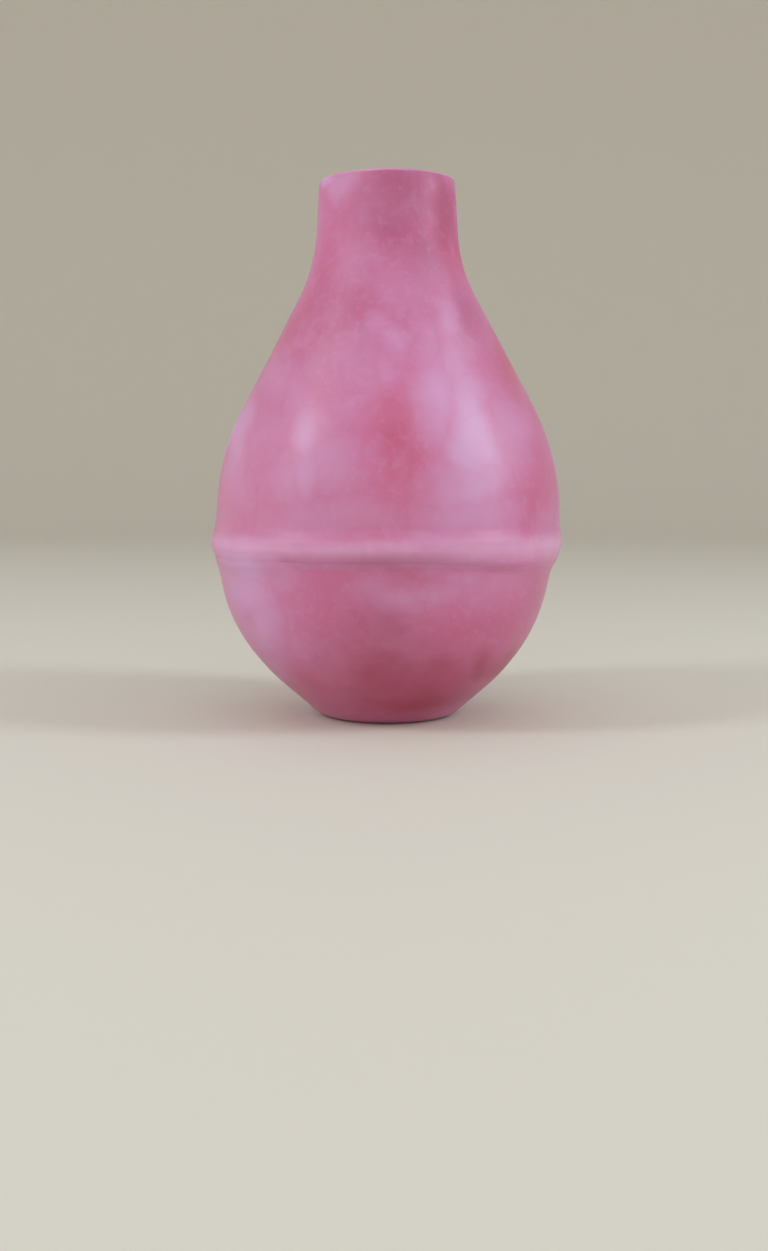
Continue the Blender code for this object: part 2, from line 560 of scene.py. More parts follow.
@dataclass(frozen=True)
class RubberFinish:
    """Satin pink rubber, clouded with a lilac bloom and redder where the bloom is gone."""

    # Some patches paint highlight and shade, and the seam and foot shares are painted shade, as marked
    # where they are listed.
    patches: tuple[Patch, ...]
    seam_shade: SeamShade
    foot_shade: Optional[FootShade] = None
    worn_rings: tuple[WornRing, ...] = ()
    matt_heights: Optional[Span] = None
    # bloom also colours painted highlight and painted light; mauve and deep also colour painted shade.
    pink: Triple = seen(205, 112, 157)
    rose: Triple = seen(199, 88, 124)
    mauve: Triple = seen(180, 92, 134)
    bloom: Triple = seen(214, 159, 205)
    deep: Triple = seen(164, 38, 70)
    worn: Triple = seen(222, 158, 199)
    rubbed: Spread = Spread(0.46, 0.70, 0.37, 0.5)
    rubbed_fineness: float = 0.25
    handled: Spread = Spread(0.55, 0.75, 0.3, 0.3)
    handled_flow: float = 0.5
    clouded: Spread = Spread(0.46, 0.70, 0.38, 0.5)
    clouded_fineness: float = 0.25
    clouded_flow: float = 0.2
    bloom_over_rose: float = 0.65
    bloom_over_mauve: float = 0.5
    rose_over_bloom: float = 0.4
    powder: Span = (0.45, 0.75)
    powder_share: float = 0.16
    dust: Specks = Specks(0.0035, 0.050, (0.3, 0.7, 3.15))
    dust_share: float = 0.25
    pinholes: Specks = Specks(0.0060, 0.032, (0.3, 0.7, 5.4))
    pinhole_share: float = 0.3
    pinhole_depth: float = 0.00002
    skin: Clouds = Clouds(0.00035, 2.0, 0.6, shift=5.0)
    skin_depth: float = 0.000010
    swell_depth: float = 0.00008
    swell_share: float = 0.7
    grain_share: float = 0.1
    roughness: float = 0.42
    bloom_roughness: float = 0.10
    rose_polish: float = 0.04
    grain_roughness: float = 0.12
    matt_roughness: float = 0.16
    coat: float = 0.26
    bloom_coat_loss: float = 0.35
    matt_coat_loss: float = 0.9
    coat_roughness: float = 0.32
    specular: float = 0.45
    sheen: float = 0.10
    sheen_roughness: float = 0.45
    sheen_tint: Triple = seen(240, 220, 240)

    def make(self, name: str) -> bpy.types.Material:
        """Build the material.

        Args:
            name: Name of the material.

        Returns:
            The finished material.
        """
        graph = Graph(name)
        ground = Ground(graph)
        shares = self.shares(ground)
        pinholes = self.pinholes.mask(ground)
        dull, coat = self.gloss(ground, shares)
        graph.feed(graph.shader, {
            "Base Color": self.colour(ground, shares, pinholes),
            "Roughness": dull,
            "Normal": self.relief(ground, pinholes),
            "Coat Weight": coat,
            "Coat Roughness": self.coat_roughness,
            "Specular IOR Level": self.specular,
            "Sheen Weight": self.sheen,
            "Sheen Roughness": self.sheen_roughness,
            "Sheen Tint": self.sheen_tint,
        })
        return graph.material

    def shares(self, ground: Ground) -> dict[Tint, Number]:
        """How much of each tint there is: what lies all over, the patches of it, and the painted shade at
        the seam and towards the foot.

        Args:
            ground: The place and the noises.

        Returns:
            The share of each tint.
        """
        fineness, flow = self.clouded_fineness, self.clouded_flow
        rubbed = ground.broad * (1 - self.rubbed_fineness) + ground.middle * self.rubbed_fineness
        handled = ground.other * (1 - self.handled_flow) + ground.flow * self.handled_flow
        clouded = ground.other * (1 - fineness - flow) + ground.middle * fineness + ground.flow * flow
        # Painted shade in the crease below the bead: greyer, and partly paler and bluer.
        line = self.seam_shade.mask(ground)
        shares: dict[Tint, Number] = {
            Tint.ROSE: self.rubbed.mask(rubbed, ground),
            Tint.MAUVE: self.handled.mask(handled, ground).most(line),
            Tint.BLOOM: self.clouded.mask(clouded, ground).most(line * self.seam_shade.bloomed),
            Tint.DEEP: 0.0,
        }
        for patch in self.patches:
            shares[patch.tint] = patch.mask(ground).most(shares[patch.tint])
        # Painted shade that darkens the lower half towards its foot.
        if self.foot_shade is not None:
            shares[Tint.DEEP] = self.foot_shade.over(shares[Tint.DEEP], ground)
        return shares

    def colour(self, ground: Ground, shares: dict[Tint, Number], pinholes: Signal) -> Socket:
        """Lay the tints, the wear, the dust and the pinholes over the pink.

        Args:
            ground: The place and the noises.
            shares: The share of each tint.
            pinholes: Where the pinholes are.

        Returns:
            The colour's socket.
        """
        mixed = ground.graph.mixed
        rose, mauve, bloom, deep = (shares[tint] for tint in Tint)
        colour = mixed(rose * (1.0 - bloom * self.bloom_over_rose), self.pink, self.rose)
        colour = mixed(mauve * (1.0 - bloom * self.bloom_over_mauve), colour, self.mauve)
        colour = mixed(bloom * (1.0 - rose * self.rose_over_bloom), colour, self.bloom)
        colour = mixed(ground.fine.step(*self.powder) * self.powder_share, colour, self.bloom)
        colour = mixed(deep, colour, self.deep)
        for ring in self.worn_rings:
            colour = mixed(ring.mask(ground), colour, self.worn)
        colour = mixed(self.dust.mask(ground) * self.dust_share, colour, self.worn)
        return mixed(pinholes * self.pinhole_share, colour, self.deep)

    def gloss(self, ground: Ground, shares: dict[Tint, Number]) -> tuple[Signal, Signal]:
        """How dull the rubber is and how much of a shiny coat it has.

        Args:
            ground: The place and the noises.
            shares: The share of each tint.

        Returns:
            The roughness and the coat's weight.
        """
        bloom = shares[Tint.BLOOM]
        dull = self.roughness + bloom * self.bloom_roughness - shares[Tint.ROSE] * self.rose_polish
        dull = dull + ground.fine.centred() * self.grain_roughness
        coat = self.coat * (1.0 - bloom * self.bloom_coat_loss)
        if self.matt_heights is not None:
            matt = ground.height.step(*self.matt_heights)
            dull = dull + matt * self.matt_roughness
            coat = coat * (1.0 - matt * self.matt_coat_loss)
        return dull, coat

    def relief(self, ground: Ground, pinholes: Signal) -> Socket:
        """The skin's fine relief, the pinholes and slight swellings.

        Args:
            ground: The place and the noises.
            pinholes: Where the pinholes are.

        Returns:
            The bumped normal's socket.
        """
        normal = ground.graph.bump(self.skin.read(ground.graph, ground.place), self.skin_depth)
        normal = ground.graph.bump(1.0 - pinholes, self.pinhole_depth, normal)
        swell = ground.middle * self.swell_share + ground.fine * self.grain_share
        return ground.graph.bump(swell, self.swell_depth, normal)


@dataclass(frozen=True)
class PlasticFinish:
    """Milky satin plastic, a little yellowed, with faint turning marks."""

    milk: Triple = seen(224, 220, 208)
    yellowed: Triple = seen(208, 196, 166)
    yellowing: Clouds = Clouds(0.006, shift=2.0)
    yellowed_from: Span = (0.40, 0.70)
    yellowed_share: float = 0.6
    grain: Clouds = Clouds(0.0006, 2.0, 0.6, shift=4.0)
    grain_depth: float = 0.000008
    grain_roughness: float = 0.16
    marks: Clouds = Clouds(0.00025, 2.0, squeeze=(0.1, 0.1, 1.0))
    mark_depth: float = 0.00001
    roughness: float = 0.36
    specular: float = 0.5

    def make(self, name: str) -> bpy.types.Material:
        """Build the material.

        Args:
            name: Name of the material.

        Returns:
            The finished material.
        """
        graph = Graph(name)
        place = graph.place()
        yellow = self.yellowing.read(graph, place).step(*self.yellowed_from) * self.yellowed_share
        grain = self.grain.read(graph, place)
        normal = graph.bump(self.marks.read(graph, place), self.mark_depth)
        graph.feed(graph.shader, {
            "Base Color": graph.mixed(yellow, self.milk, self.yellowed),
            "Roughness": self.roughness + grain.centred() * self.grain_roughness,
            "Normal": graph.bump(grain, self.grain_depth, normal),
            "Specular IOR Level": self.specular,
        })
        return graph.material


@dataclass(frozen=True)
class Corner:
    """A corner of an outline, with the radius of the arc that rounds it."""

    radius: float
    height: float
    rounding: float = 0.0

    @property
    def point(self) -> Vector:
        """The corner as a vector of radius and height."""
        return Vector((self.radius, self.height))


@dataclass
class Outline:
    """Half a section: corners joined by straight lines, with arcs at the rounded ones."""

    corners: list[Corner]
    closed: bool
    spacing: float = 0.0007
    least_steps: int = 5
    least_turn: float = 0.001

    def points(self) -> list[Vector]:
        """Walk along the outline.

        Returns:
            Points no further apart than the spacing.
        """
        bare = self.rounded()
        if self.closed:
            bare.append(bare[0])
        filled = [bare[0]]
        for start, end in zip(bare, bare[1:]):
            count = max(1, math.ceil((end - start).length / self.spacing))
            filled.extend(start.lerp(end, step / count) for step in range(1, count + 1))
        return filled[:-1] if self.closed else filled

    def rounded(self) -> list[Vector]:
        """Round the corners.

        Returns:
            The corners, with each rounded one drawn as an arc.
        """
        drawn = [self.corners[0].point]
        for before, corner, after in zip(self.corners, self.corners[1:], self.corners[2:]):
            drawn.extend(self.arc(before.point, corner, after.point))
        drawn.append(self.corners[-1].point)
        return drawn

    def arc(self, before: Vector, corner: Corner, after: Vector) -> list[Vector]:
        """The arc at one corner.

        Args:
            before: The corner before it.
            corner: The corner that is rounded.
            after: The corner after it.

        Returns:
            Points along the arc, or the bare corner if it isn't rounded.
        """
        tip = corner.point
        back, onward = (before - tip).normalized(), (after - tip).normalized()
        turn = math.pi - back.angle(onward)
        if corner.rounding == 0.0 or turn < self.least_turn:
            return [tip]
        reach = corner.rounding * math.tan(turn / 2)
        middle = tip + (back + onward).normalized() * (corner.rounding / math.cos(turn / 2))
        first, last = tip + back * reach - middle, tip + onward * reach - middle
        count = max(self.least_steps, math.ceil(corner.rounding * turn / self.spacing))
        points = []
        for step in range(count + 1):
            share = step / count
            swung = first * math.sin((1 - share) * turn) + last * math.sin(share * turn)
            points.append(middle + swung / math.sin(turn))
        return points


@dataclass
class Lathe:
    """Turns outlines about the Z axis, and lets a shape move each point afterwards."""

    steps: int = 176
    shape: Callable[[Vector], Vector] = field(default=lambda true: true)

    def turn(self, name: str, outline: Outline) -> bpy.types.Object:
        """Turn an outline.

        Args:
            name: Name of the object.
            outline: Its half section.

        Returns:
            A smooth mesh object in the scene.
        """
        shell = bmesh.new()
        true_place = shell.verts.layers.float_vector.new(TRUE_PLACE)
        rings = [self.ring(shell, true_place, point) for point in outline.points()]
        pairs = list(zip(rings, rings[1:]))
        if outline.closed:
            pairs.append((rings[-1], rings[0]))
        for upper, lower in pairs:
            self.band(shell, upper, lower)
        bmesh.ops.recalc_face_normals(shell, faces=shell.faces)
        mesh = bpy.data.meshes.new(name)
        shell.to_mesh(mesh)
        shell.free()
        mesh.shade_smooth()
        made = bpy.data.objects.new(name, mesh)
        bpy.context.scene.collection.objects.link(made)
        return made

    def ring(self, shell: bmesh.types.BMesh, layer: bmesh.types.BMLayerItem, point: Vector) -> VertexRing:
        """The ring of vertices at one point of the outline, or one vertex on the axis.

        Args:
            shell: The mesh that is built.
            layer: Where each vertex keeps its place on the true shape.
            point: Radius and height.

        Returns:
            The ring's vertices in order.
        """
        made = []
        for step in range(1 if point.x < ON_AXIS else self.steps):
            angle = math.tau * step / self.steps
            true = Vector((point.x * math.cos(angle), point.x * math.sin(angle), point.y))
            vertex = shell.verts.new(self.shape(true))
            vertex[layer] = true
            made.append(vertex)
        return made

    @staticmethod
    def band(shell: bmesh.types.BMesh, upper: VertexRing, lower: VertexRing) -> None:
        """Add the faces between two rings, either of which may be a single vertex on the axis.

        Args:
            shell: The mesh that is built.
            upper: One ring.
            lower: The next ring.
        """
        count = max(len(upper), len(lower))
        for step in range(count):
            after = (step + 1) % count
            corners = [upper[step % len(upper)], lower[step % len(lower)]]
            corners += [lower[after % len(lower)], upper[after % len(upper)]]
            shell.faces.new(dict.fromkeys(corners))


@dataclass
class Unevenness:
    """How this bulb departs from a true turned shape, in ways that its two halves share.

    A span to the left or the right runs from where a departure begins to where it is full. Its numbers are
    the sideways part of the outward direction: 0 at the front and the back, and 1 at that side.
    """

    rim_height: float
    seam_height: float
    lump_size: float = 0.016
    lump: float = 0.00010
    ripple_size: float = 0.0055
    ripple: float = 0.000025
    ripple_shift: Triple = (5.0, 1.0, 3.0)
    flat_foot: Span = (0.0005, 0.006)
    belly_sway: float = 0.00022
    belly_start: float = 0.010
    belly_end: Span = (0.010, 0.025)
    cup_sway: float = -0.00030
    cup_start: Span = (0.004, 0.018)
    cup_end: Span = (0.0015, -0.0035)
    rim_tilt: float = 0.012
    rim_depth: float = 0.0018
    seam_rise_front: float = 0.00005
    seam_tilt: float = 0.00015
    seam_reach: float = 0.0075
    bead_wave: float = 0.00012
    bead_waves: float = 2.3
    bead_wave_shift: Triple = (0.0, 0.0, 4.0)
    bead_left: float = 0.00022
    bead_rise: float = 0.0022
    bead_reach: float = 0.0018
    bead_left_span: Span = (-0.2, 1.0)
    lip_droop: float = 0.0010
    lip_reach: float = 0.0013
    lip_right_span: Span = (0.1, 0.8)
    crease_fill: float = 0.00055
    crease_reach: float = 0.0019
    crease_left_span: Span = (0.42, 0.68)
    crease_side_span: Span = (0.85, 1.0)
    crease_side_loss: float = 0.6
    skin_radius: float = 0.0246
    skin_depth: float = 0.0005

    def place(self, true: Vector) -> Vector:
        """Where a point of the true shape lies.

        Args:
            true: The point on the turned shape.

        Returns:
            The same point on the uneven bulb.
        """
        flat = Vector((true.x, true.y, 0.0))
        outward = flat.normalized()
        left = -outward.x
        push = self.lump * noise.noise(true / self.lump_size)
        push += self.ripple * noise.noise(true / self.ripple_size + Vector(self.ripple_shift))
        push *= eased(true.z, *self.flat_foot)
        skin = eased(flat.length, self.skin_radius, self.skin_radius + self.skin_depth)
        near_bead = bell(true.z, self.seam_height + self.bead_rise, self.bead_reach) * skin
        push += near_bead * self.bead_left * eased(left, *self.bead_left_span)
        near_crease = bell(true.z, self.seam_height, self.crease_reach) * skin
        side_loss = 1 - self.crease_side_loss * eased(left, *self.crease_side_span)
        push += near_crease * self.crease_fill * eased(left, *self.crease_left_span) * side_loss
        lift = -outward.y * self.seam_rise_front + outward.x * self.seam_tilt
        lift += self.bead_wave * noise.noise(outward * self.bead_waves + Vector(self.bead_wave_shift))
        droop = self.lip_droop * eased(outward.x, *self.lip_right_span)
        tilt = self.rim_tilt * true.x * eased(true.z, self.rim_height - self.rim_depth, self.rim_height)
        moved = true + outward * push
        moved.x += self.sway(true.z)
        moved.z += lift * bell(true.z, self.seam_height, self.seam_reach)
        moved.z += tilt - droop * bell(true.z, self.seam_height, self.lip_reach)
        return moved

    def sway(self, height: float) -> float:
        """How far the bulb leans sideways.

        Args:
            height: Height above the foot.

        Returns:
            The distance towards the right.
        """
        seam = self.seam_height
        belly_low, belly_high = (self.rim_height - end for end in self.belly_end)
        cup_low, cup_high = (seam + end for end in self.cup_end)
        belly = eased(height, seam, seam + self.belly_start) * eased(height, belly_low, belly_high)
        cup = eased(height, *self.cup_start) * eased(height, cup_low, cup_high)
        return self.belly_sway * belly + self.cup_sway * cup


@dataclass
class TurnedPiece:
    """A piece that is turned from an outline."""

    name: str
    node: str
    slot: Slot
    lathe: Lathe
    sharp_angle: float = math.radians(50)

    def outline(self) -> Outline:
        """The half section of this piece."""
        raise NotImplementedError

    def build(self) -> bpy.types.Object:
        """Turn the outline into an object that stands for the CAD node.

        Returns:
            The piece, not yet dressed.
        """
        piece = self.lathe.turn(self.name, self.outline())
        piece.data.set_sharp_from_angle(angle=self.sharp_angle)
        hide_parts(self.node)
        return piece

    def dress(self, piece: bpy.types.Object, material: bpy.types.Material) -> None:
        """Give the piece its material."""
        piece.data.materials.append(material)


@dataclass
class Lap:
    """The lap joint: the lower half's tongue stands up inside the upper half's lip."""

    seam_height: float
    depth: float = 0.0060
    inner_radius: float = 0.02245
    tongue_thickness: float = 0.0013
    gap: float = 0.0003
    rounding: float = 0.0004
    crease_radius: float = 0.02527

    @property
    def tongue_radius(self) -> float:
        """Outer radius of the tongue."""
        return self.inner_radius + self.tongue_thickness

    @property
    def socket_radius(self) -> float:
        """Inner radius of the lip round the tongue."""
        return self.tongue_radius + self.gap


@dataclass
class Ribs:
    """Saw-tooth ribs round the bush, which seat in grooves of the neck's bore."""

    top: float
    count: int = 3
    pitch: float = 0.0030
    ramp: float = 0.0018
    proud: float = 0.0005
    first_depth: float = 0.0031

    def corners(self, radius: float, clearance: float = 0.0) -> list[Corner]:
        """Corners of the ribs or grooves, downwards: a square step out, then a long ramp back in.

        Args:
            radius: Radius of the wall that they stand on.
            clearance: How far a groove's step stands above the rib's.

        Returns:
            Three corners for each rib.
        """
        made = []
        for rib in range(self.count):
            step = self.top - self.first_depth - rib * self.pitch
            made.append(Corner(radius, step + clearance))
            made.append(Corner(radius + self.proud, step + clearance))
            made.append(Corner(radius, step - self.ramp))
        return made


@dataclass(kw_only=True)
class UpperShell(TurnedPiece):
    """The upper half: neck, shoulder and belly, ending in the bead."""

    lap: Lap
    ribs: Ribs
    rim_height: float
    rim_radius: float = 0.0098
    rim_rounding: float = 0.0006
    neck: Corner = Corner(0.0106, 0.0659, 0.024)
    belly: Corner = Corner(0.02545, 0.0381, 0.036)
    belly_inside_height: float = 0.03735
    belly_inside_sweep: float = 0.024
    bead_radius: float = 0.0259
    bead_top: float = 0.0286
    bead_crest: float = 0.0268
    bead_foot: float = 0.0258
    bead_sweep: float = 0.0032
    bead_rounding: float = 0.0018
    lip: Corner = Corner(0.02548, 0.02475, 0.0010)
    lip_inner_rounding: float = 0.0003
    bore: Corner = Corner(0.0066, 0.0635, 0.008)
    seat_radius: float = 0.0075
    seat_depth: float = 0.0023
    mouth_rounding: float = 0.0003

    def outline(self) -> Outline:
        """Draw the closed section: outside, bead, lap joint, inside wall, bore and mouth.

        Returns:
            The half section.
        """
        seam, lap = self.lap.seam_height, self.lap
        lap_top = seam + lap.depth
        seat = self.rim_height - self.seat_depth
        flat_ring = (self.seat_radius + self.rim_radius) / 2
        return Outline([
            Corner(flat_ring, self.rim_height),
            Corner(self.rim_radius, self.rim_height, self.rim_rounding),
            self.neck,
            self.belly,
            Corner(self.belly.radius, self.bead_top, self.bead_sweep),
            Corner(self.bead_radius, self.bead_crest, self.bead_sweep),
            Corner(self.bead_radius, self.bead_foot, self.bead_rounding),
            self.lip,
            Corner(lap.crease_radius, seam),
            Corner(lap.socket_radius, seam, self.lip_inner_rounding),
            Corner(lap.socket_radius, lap_top, lap.rounding),
            Corner(lap.inner_radius, lap_top),
            Corner(lap.inner_radius, self.belly_inside_height, self.belly_inside_sweep),
            self.bore,
            *reversed(self.ribs.corners(self.bore.radius, lap.gap)),
            Corner(self.bore.radius, seat),
            Corner(self.seat_radius, seat),
            Corner(self.seat_radius, self.rim_height, self.mouth_rounding),
            Corner(flat_ring - self.mouth_rounding, self.rim_height),
        ], closed=True)


@dataclass(kw_only=True)
class LowerShell(TurnedPiece):
    """The lower half: a cup with a flat foot and a tongue that stands up inside the bead."""

    lap: Lap
    bond: float = 0.00001
    cup: Corner = Corner(0.02510, 0.0234, 0.0030)
    breast: Corner = Corner(0.02444, 0.0208, 0.0600)
    side: Corner = Corner(0.02295, 0.0136, 0.0240)
    cone: Corner = Corner(0.0172, 0.0064, 0.0260)
    foot: Corner = Corner(0.00995, 0.0, 0.0040)
    inside_floor: Corner = Corner(0.0099, 0.0040, 0.0050)
    inside_cone: Corner = Corner(0.0147, 0.00855, 0.0270)
    inside_side: Corner = Corner(0.02004, 0.01506, 0.0230)
    inside_breast: Corner = Corner(0.02151, 0.02144, 0.0180)

    def outline(self) -> Outline:
        """Draw the open section: from the axis up the inside, over the tongue and down to the foot.

        Returns:
            The half section.
        """
        lap = self.lap
        tongue_top = lap.seam_height + lap.depth - lap.gap
        bonded = lap.seam_height - self.bond
        return Outline([
            Corner(0.0, self.inside_floor.height),
            self.inside_floor,
            self.inside_cone,
            self.inside_side,
            self.inside_breast,
            Corner(lap.inner_radius, tongue_top, lap.rounding),
            Corner(lap.tongue_radius, tongue_top, lap.rounding),
            Corner(lap.tongue_radius, bonded),
            Corner(lap.crease_radius, bonded),
            self.cup,
            self.breast,
            self.side,
            self.cone,
            self.foot,
            Corner(0.0, self.foot.height),
        ], closed=False)


@dataclass(kw_only=True)
class NeckInsert(TurnedPiece):
    """The bush in the mouth: a collar, a ribbed body and a tail, with a tapered socket through them."""

    ribs: Ribs
    collar_radius: float = 0.0072
    collar_thickness: float = 0.0016
    collar_rounding: float = 0.0004
    body_radius: float = 0.0063
    length: float = 0.018
    tail_depth: float = 0.0126
    tail_radius: float = 0.0050
    tail_rounding: float = 0.0005
    mouth_radius: float = 0.0054
    socket_radius: float = 0.0048
    socket_lead: float = 0.0010
    socket_end: float = 0.0034

    def outline(self) -> Outline:
        """Draw the closed section, downwards from the top of the collar and back up the socket.

        Returns:
            The half section.
        """
        def below(radius: float, depth: float, rounding: float = 0.0) -> Corner:
            """A corner at a depth below the top of the collar."""
            return Corner(radius, self.ribs.top - depth, rounding)

        flat_ring = (self.mouth_radius + self.collar_radius) / 2
        return Outline([
            below(flat_ring, 0.0),
            below(self.collar_radius, 0.0, self.collar_rounding),
            below(self.collar_radius, self.collar_thickness, self.collar_rounding),
            below(self.body_radius, self.collar_thickness),
            *self.ribs.corners(self.body_radius),
            below(self.body_radius, self.tail_depth),
            below(self.tail_radius, self.length, self.tail_rounding),
            below(self.socket_end, self.length, self.tail_rounding),
            below(self.socket_radius, self.socket_lead, self.socket_lead),
            below(self.mouth_radius, 0.0, self.collar_rounding / 2),
            below(flat_ring - self.collar_rounding, 0.0),
        ], closed=True)


@dataclass(frozen=True)
class SoftBox:
    """A soft lamp that faces the bulb, at a bearing and a climb in degrees."""

    name: str
    bearing: float
    climb: float
    distance: float
    width: float
    height: float
    watts: float
    tint: Triple

    def light(self, target: Vector) -> None:
        """Hang the lamp.

        Args:
            target: The point that the lamp faces.
        """
        lamp = bpy.data.lights.new(self.name, "AREA")
        lamp.shape = "RECTANGLE"
        lamp.size, lamp.size_y = self.width, self.height
        lamp.energy = self.watts
        lamp.color = self.tint
        turn, rise = math.radians(self.bearing), math.radians(self.climb)
        away = Vector((math.sin(turn) * math.cos(rise), -math.cos(turn) * math.cos(rise), math.sin(rise)))
        hung = bpy.data.objects.new(self.name, lamp)
        hung.location = target + away * self.distance
        hung.rotation_mode = "QUATERNION"
        hung.rotation_quaternion = away.to_track_quat("Z", "Y")
        hung.visible_camera = False
        bpy.context.scene.collection.objects.link(hung)


@dataclass
class Studio:
    """A pale round floor that rises behind the bulb, soft lamps and the camera."""

    floor_colour: Triple = seen(222, 216, 203)
    floor_roughness: float = 0.7
    floor_specular: float = 0.3
    flat_radius: float = 0.55
    rise_radius: float = 0.35
    wall_height: float = 0.75
    floor_steps: int = 96
    floor_spacing: float = 0.03
    aim: Triple = (0.0, 0.0, 0.040)
    world_colour: Triple = (0.99, 0.985, 1.0)
    world_strength: float = 0.55
    camera_place: Triple = (-0.00045, -0.2101, 0.0374)
    camera_dip: float = math.radians(6.55)
    focal_pixels: float = 1405.0
    frame_long_side: float = 1251.0
    sensor: float = 36.0
    clip: Span = (0.005, 20.0)
    boxes: tuple[SoftBox, ...] = (
        SoftBox("key_lamp", 73.0, 29.5, 0.50, 0.12, 0.26, 1.05, (0.80, 0.91, 1.0)),
        SoftBox("second_lamp", -66.0, 35.0, 0.50, 0.10, 0.17, 0.75, (0.80, 0.91, 1.0)),
        SoftBox("rim_lamp", -122.0, 2.0, 0.50, 0.36, 0.36, 0.18, (0.88, 0.94, 1.0)),
        SoftBox("fill_lamp", -80.0, -2.0, 0.60, 0.50, 0.30, 0.44, (1.0, 0.97, 1.0)),
        SoftBox("front_lamp", 0.0, 8.0, 0.75, 0.70, 0.36, 0.84, (1.0, 0.97, 0.99)),
        SoftBox("top_lamp", 0.0, 58.0, 0.70, 0.60, 0.40, 0.3, (1.0, 0.97, 0.98)),
    )

    def set_up(self) -> None:
        """Make the floor, lamps, world and camera, and choose the plain view transform."""
        self.floor()
        for box in self.boxes:
            box.light(Vector(self.aim))
        self.world()
        self.camera()
        bpy.context.scene.view_settings.view_transform = "Standard"

    def floor(self) -> bpy.types.Object:
        """Make a round floor whose edge curves up into a wall all round.

        Returns:
            The painted floor.
        """
        edge = self.flat_radius + self.rise_radius
        corners = [Corner(0.0, 0.0), Corner(edge, 0.0, self.rise_radius), Corner(edge, self.wall_height)]
        outline = Outline(corners, closed=False, spacing=self.floor_spacing)
        made = Lathe(self.floor_steps).turn("floor", outline)
        graph = Graph("floor_paint")
        graph.feed(graph.shader, {
            "Base Color": self.floor_colour,
            "Roughness": self.floor_roughness,
            "Specular IOR Level": self.floor_specular,
        })
        made.data.materials.append(graph.material)
        return made

    def world(self) -> None:
        """An even light from all round."""
        world = bpy.data.worlds.new("studio_world")
        world.use_nodes = True
        sky = world.node_tree.nodes["Background"]
        sky.inputs["Color"].default_value = (*self.world_colour, 1.0)
        sky.inputs["Strength"].default_value = self.world_strength
        bpy.context.scene.world = world

    def camera(self) -> None:
        """The camera at the photograph's angle and distance."""
        data = bpy.data.cameras.new("camera")
        data.sensor_width = self.sensor
        data.lens = self.focal_pixels / self.frame_long_side * self.sensor
        data.clip_start, data.clip_end = self.clip
        made = bpy.data.objects.new("camera", data)
        made.location = self.camera_place
        made.rotation_euler = (math.pi / 2 - self.camera_dip, 0.0, 0.0)
        bpy.context.scene.collection.objects.link(made)
        bpy.context.scene.camera = made


# Patches that show from the front: tint, centre, reach along each axis, strength, and the fray of its edge
# where that isn't the usual one.
NECK_PATCHES = (
    Patch(Tint.ROSE, (-0.0095, -0.0080, 0.0645), (0.0030, 0.0100, 0.0060), 0.5),
    Patch(Tint.ROSE, (0.0004, -0.0100, 0.0745), (0.0065, 0.0100, 0.0080), 0.65),
    Patch(Tint.ROSE, (0.0088, -0.0050, 0.0715), (0.0040, 0.0090, 0.0110), 1.0),
    Patch(Tint.ROSE, (0.0030, -0.0100, 0.0690), (0.0060, 0.0090, 0.0110), 0.35),
    Patch(Tint.MAUVE, (0.0018, -0.0100, 0.0745), (0.0095, 0.0120, 0.0120), 0.85),
    Patch(Tint.MAUVE, (0.0085, -0.0055, 0.0730), (0.0034, 0.0090, 0.0110), 0.8),
    # Painted shadow under the rim's lip.
    Patch(Tint.MAUVE, (0.0035, -0.0096, 0.0786), (0.0090, 0.0080, 0.0034), 1.0),
    Patch(Tint.MAUVE, (0.0050, -0.0096, 0.0660), (0.0048, 0.0090, 0.0090), 0.8),
    # Painted shadow under the rim's lip, on the right.
    Patch(Tint.MAUVE, (0.0068, -0.0068, 0.0776), (0.0034, 0.0060, 0.0030), 0.9),
    # Paler at the rim's left corner: partly bloom, partly a painted highlight on the lit edge.
    Patch(Tint.BLOOM, (-0.0083, -0.0056, 0.0778), (0.0026, 0.0060, 0.0020), 1.0),
    Patch(Tint.BLOOM, (-0.0062, -0.0076, 0.0762), (0.0040, 0.0060, 0.0040), 0.6),
    Patch(Tint.DEEP, (0.0090, -0.0048, 0.0715), (0.0034, 0.0090, 0.0100), 0.3),
    Patch(Tint.DEEP, (0.0020, -0.0101, 0.0745), (0.0060, 0.0090, 0.0060), 0.14, 0.3),
    # Painted shadow under the rim's lip, on the right.
    Patch(Tint.DEEP, (0.0070, -0.0066, 0.0778), (0.0030, 0.0060, 0.0026), 0.3),
)
